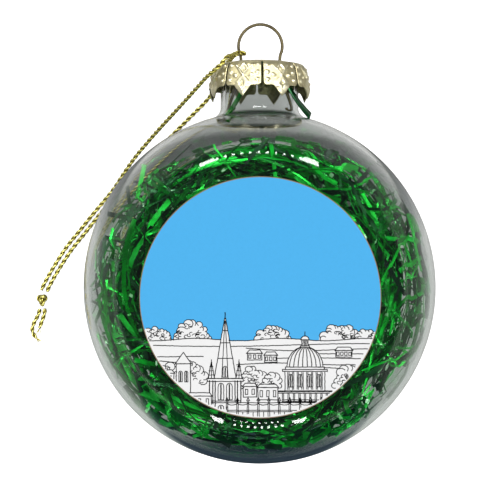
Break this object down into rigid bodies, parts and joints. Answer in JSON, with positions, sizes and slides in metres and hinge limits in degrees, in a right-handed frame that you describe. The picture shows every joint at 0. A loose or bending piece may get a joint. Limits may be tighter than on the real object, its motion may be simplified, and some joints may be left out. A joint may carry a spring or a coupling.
{
  "type": "souvenir christmas ornament",
  "caption": "Clear glass bauble with two flat faces, green foil tinsel inside, a printed disc on the front, a gold crown cap, a wire hanger and a gold cord loop",
  "frame": {"origin": "middle of the back flat face, which lies on the table", "axes": "+Z is the way the front flat and its printed disc face, +Y runs up the neck through the cap and the hanger's ring, +X is to the right as the disc is seen"},
  "size_m": [0.0961, 0.1003, 0.053],
  "materials": {
    "clear_glass": "clear blown glass with a faint smoky tint",
    "clear_tape": "double-sided adhesive film",
    "printed_disc": "thin coated aluminium disc with a printed picture, satin",
    "cap_gold": "pale champagne gold stamped sheet, satin, embossed",
    "hanger_brass": "dull antique brass spring wire",
    "green_foil": "metallised green film, mirror-like",
    "gold_cord": "twisted gold metallic thread"
  },
  "bodies": {
    "bulb": {"bulb_glass": "clear_glass", "disc_adhesive": "clear_tape", "front_disc": "printed_disc", "tinsel_strip_01": "green_foil", "tinsel_strip_02": "green_foil", "tinsel_strip_03": "green_foil", "tinsel_strip_04": "green_foil", "tinsel_strip_05": "green_foil", "tinsel_strip_06": "green_foil", "tinsel_strip_07": "green_foil", "tinsel_strip_08": "green_foil", "tinsel_strip_09": "green_foil", "tinsel_strip_10": "green_foil", "tinsel_strip_11": "green_foil", "tinsel_strip_12": "green_foil", "tinsel_strip_13": "green_foil", "tinsel_strip_14": "green_foil", "tinsel_strip_15": "green_foil", "tinsel_strip_16": "green_foil", "tinsel_strip_17": "green_foil", "tinsel_strip_18": "green_foil", "tinsel_strip_19": "green_foil", "tinsel_strip_20": "green_foil", "tinsel_strip_21": "green_foil", "tinsel_strip_22": "green_foil", "tinsel_strip_23": "green_foil", "tinsel_strip_24": "green_foil", "tinsel_strip_25": "green_foil", "tinsel_strip_26": "green_foil", "tinsel_strip_27": "green_foil", "tinsel_strip_28": "green_foil", "tinsel_strip_29": "green_foil", "tinsel_strip_30": "green_foil", "tinsel_strip_31": "green_foil", "tinsel_strip_32": "green_foil", "tinsel_strip_33": "green_foil", "tinsel_strip_34": "green_foil", "tinsel_strip_35": "green_foil", "tinsel_strip_36": "green_foil", "tinsel_neck_strand": "green_foil", "tinsel_lip_strand": "green_foil"},
    "cap": {"cap": "cap_gold"},
    "hanger": {"hanger_wire": "hanger_brass", "cord_front_strand": "gold_cord", "cord_back_strand": "gold_cord", "cord_turn": "gold_cord", "cord_knot": "gold_cord", "cord_tail_long": "gold_cord", "cord_tail_short": "gold_cord"}
  },
  "joints": [
    {"name": "cap_pull", "type": "slide", "parent": "bulb", "child": "cap", "axis": [0, 1, 0], "range_m": [0, 0.016]},
    {"name": "hanger_slide", "type": "slide", "parent": "cap", "child": "hanger", "axis": [0, 1, 0], "range_m": [0, 0.003]}
  ]
}
